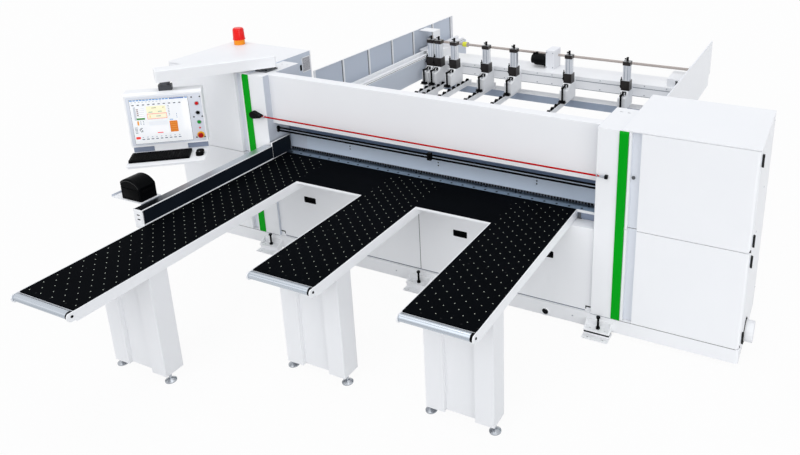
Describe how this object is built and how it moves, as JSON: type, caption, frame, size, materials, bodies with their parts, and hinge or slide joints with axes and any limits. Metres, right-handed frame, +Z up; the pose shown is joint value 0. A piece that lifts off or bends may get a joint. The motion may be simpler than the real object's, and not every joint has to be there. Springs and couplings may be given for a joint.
{
  "type": "beam saw",
  "caption": "front-loading beam panel saw: air tables, under-table saw carriage, pressure beam between cabinets, control panel on an arm, rear pusher with grippers",
  "frame": {"origin": "on the floor, at the middle of the rectangle of anchor holes, under the middle of the body", "axes": "+X along the beam to the operator's right, +Y from the operator to the back, +Z up"},
  "size_m": [5.391, 6.157, 1.8681],
  "materials": {
    "white_paint": "satin",
    "grey_paint": "satin",
    "green_paint": "satin",
    "aluminium": "brushed",
    "steel": "machined",
    "blade_steel": "ground",
    "black_board": "matte",
    "black_metal": "satin",
    "black_plastic": "matte",
    "red_plastic": "gloss",
    "green_plastic": "gloss",
    "red_rope": "satin",
    "beacon_red": "gloss",
    "wheel_rubber": "matte"
  },
  "bodies": {
    "machine": {"anchor_brackets": "white_paint", "arm_pivot": "black_metal", "bar_wheels": "wheel_rubber", "base_frame": "white_paint", "beacon": "beacon_red", "beam_cover": "white_paint", "bed_panels": "grey_paint", "bridge_beam": "white_paint", "cabinets": "white_paint", "columns": "white_paint", "control_gear": "grey_paint", "corner_strips": "green_paint", "dust_outlet": "white_paint", "fence_face": "black_plastic", "guide_rods": "black_metal", "label_printer": "black_plastic", "levelling_feet": "steel", "lift_cylinders": "aluminium", "printer_shelf": "white_paint", "pusher_rails": "aluminium", "rear_frame": "white_paint", "rear_table": "steel", "roller_bars": "aluminium", "rope_fittings": "black_plastic", "saw_bed": "steel", "side_fence": "aluminium", "side_walls": "white_paint", "stop_rope": "red_rope", "table_frames": "white_paint", "table_legs": "white_paint", "table_strip": "aluminium", "table_tops": "black_board"},
    "pressure": {"pressure_beam": "aluminium"},
    "saw_carriage": {"saw_carriage": "steel"},
    "saw_head": {"saw_head": "grey_paint"},
    "main_blade": {"main_blade": "blade_steel"},
    "scoring_blade": {"scoring_blade": "blade_steel"},
    "pusher": {"pusher_beam": "white_paint", "pusher_drive": "black_metal", "gripper_brackets": "white_paint", "gripper_cylinders": "aluminium"},
    "gripper_levers": {"gripper_levers": "black_metal"},
    "cross_shaft": {"cross_shaft": "steel"},
    "side_aligner": {"side_aligner": "black_plastic"},
    "control_arm": {"control_arm": "white_paint"},
    "control_panel": {"panel_housing": "white_paint", "keyboard_tray": "white_paint", "keyboard_and_mouse": "black_plastic"},
    "red_button": {"red_button": "red_plastic"},
    "black_button": {"black_button": "black_plastic"},
    "green_button": {"green_button": "green_plastic"},
    "emergency_stop": {"emergency_stop": "red_plastic"},
    "left_upper_door": {"left_upper_door": "white_paint"},
    "left_lower_door": {"left_lower_door": "white_paint"},
    "right_upper_door": {"right_upper_door": "white_paint"},
    "right_lower_door": {"right_lower_door": "white_paint"},
    "left_roller": {"left_roller": "aluminium"},
    "middle_roller": {"middle_roller": "aluminium"},
    "right_roller": {"right_roller": "aluminium"},
    "printer_lid": {"printer_lid": "black_plastic"}
  },
  "joints": [
    {"name": "pressure_lift", "type": "slide", "parent": "machine", "child": "pressure", "axis": [0, 0, 1], "range_m": [0, 0.1]},
    {"name": "saw_travel", "type": "slide", "parent": "machine", "child": "saw_carriage", "axis": [1, 0, 0], "range_m": [0, 3.22]},
    {"name": "saw_lift", "type": "slide", "parent": "saw_carriage", "child": "saw_head", "axis": [0, 0, 1], "range_m": [0, 0.105]},
    {"name": "main_blade_spin", "type": "hinge", "parent": "saw_head", "child": "main_blade", "pos_m": [-1.7, -0.128, 0.73], "axis": [0, 1, 0], "continuous": true},
    {"name": "scoring_blade_spin", "type": "hinge", "parent": "saw_head", "child": "scoring_blade", "pos_m": [-1.415, -0.128, 0.755], "axis": [0, 1, 0], "continuous": true},
    {"name": "pusher_travel", "type": "slide", "parent": "machine", "child": "pusher", "axis": [0, 1, 0], "range_m": [-1.88, 0.4]},
    {"name": "cross_shaft_turn", "type": "hinge", "parent": "pusher", "child": "cross_shaft", "pos_m": [0, 2.679, 1.3], "axis": [1, 0, 0], "range_deg": [-345, 1600]},
    {"name": "gripper_clamp", "type": "hinge", "parent": "pusher", "child": "gripper_levers", "pos_m": [0, 2.15, 1.106], "axis": [-1, 0, 0], "range_deg": [0, 28]},
    {"name": "aligner_slide", "type": "slide", "parent": "machine", "child": "side_aligner", "axis": [1, 0, 0], "range_m": [-1.5, 1.42]},
    {"name": "arm_swing", "type": "hinge", "parent": "machine", "child": "control_arm", "pos_m": [-1.64, -0.253, 1.725], "axis": [0, 0, 1], "range_deg": [-12, 25]},
    {"name": "panel_swivel", "type": "hinge", "parent": "control_arm", "child": "control_panel", "pos_m": [-2.13017, -0.93515, 1.65], "axis": [0, 0, 1], "range_deg": [-35, 35]},
    {"name": "red_press", "type": "slide", "parent": "control_panel", "child": "red_button", "axis": [-0.628, 0.7782, 0], "range_m": [0, 0.004], "stiffness_N_per_m": 400},
    {"name": "black_press", "type": "slide", "parent": "control_panel", "child": "black_button", "axis": [-0.628, 0.7782, 0], "range_m": [0, 0.004], "stiffness_N_per_m": 400},
    {"name": "green_press", "type": "slide", "parent": "control_panel", "child": "green_button", "axis": [-0.628, 0.7782, 0], "range_m": [0, 0.004], "stiffness_N_per_m": 400},
    {"name": "emergency_press", "type": "slide", "parent": "control_panel", "child": "emergency_stop", "axis": [-0.628, 0.7782, 0], "range_m": [0, 0.006], "stiffness_N_per_m": 600},
    {"name": "left_upper_hinge", "type": "hinge", "parent": "machine", "child": "left_upper_door", "pos_m": [-2.662, -0.396, 1.3], "axis": [0, 0, -1], "range_deg": [0, 18]},
    {"name": "left_lower_hinge", "type": "hinge", "parent": "machine", "child": "left_lower_door", "pos_m": [-2.662, -0.396, 0.5], "axis": [0, 0, -1], "range_deg": [0, 110]},
    {"name": "right_upper_hinge", "type": "hinge", "parent": "machine", "child": "right_upper_door", "pos_m": [2.662, -0.396, 1.3], "axis": [0, 0, 1], "range_deg": [0, 110]},
    {"name": "right_lower_hinge", "type": "hinge", "parent": "machine", "child": "right_lower_door", "pos_m": [2.662, -0.396, 0.5], "axis": [0, 0, 1], "range_deg": [0, 110]},
    {"name": "left_roller_spin", "type": "hinge", "parent": "machine", "child": "left_roller", "pos_m": [-1.225, -2.823, 0.9085], "axis": [1, 0, 0], "continuous": true},
    {"name": "middle_roller_spin", "type": "hinge", "parent": "machine", "child": "middle_roller", "pos_m": [-0.071, -2.02, 0.9085], "axis": [1, 0, 0], "continuous": true},
    {"name": "right_roller_spin", "type": "hinge", "parent": "machine", "child": "right_roller", "pos_m": [1.083, -2.02, 0.9085], "axis": [1, 0, 0], "continuous": true},
    {"name": "printer_lid_hinge", "type": "hinge", "parent": "machine", "child": "printer_lid", "pos_m": [-1.7815, -1.688, 1.167], "axis": [0, -1, 0], "range_deg": [0, 80]}
  ],
  "couplings": [
    {"joint": "cross_shaft_turn", "follows": "pusher_travel", "rad_per_m": -14.706}
  ]
}
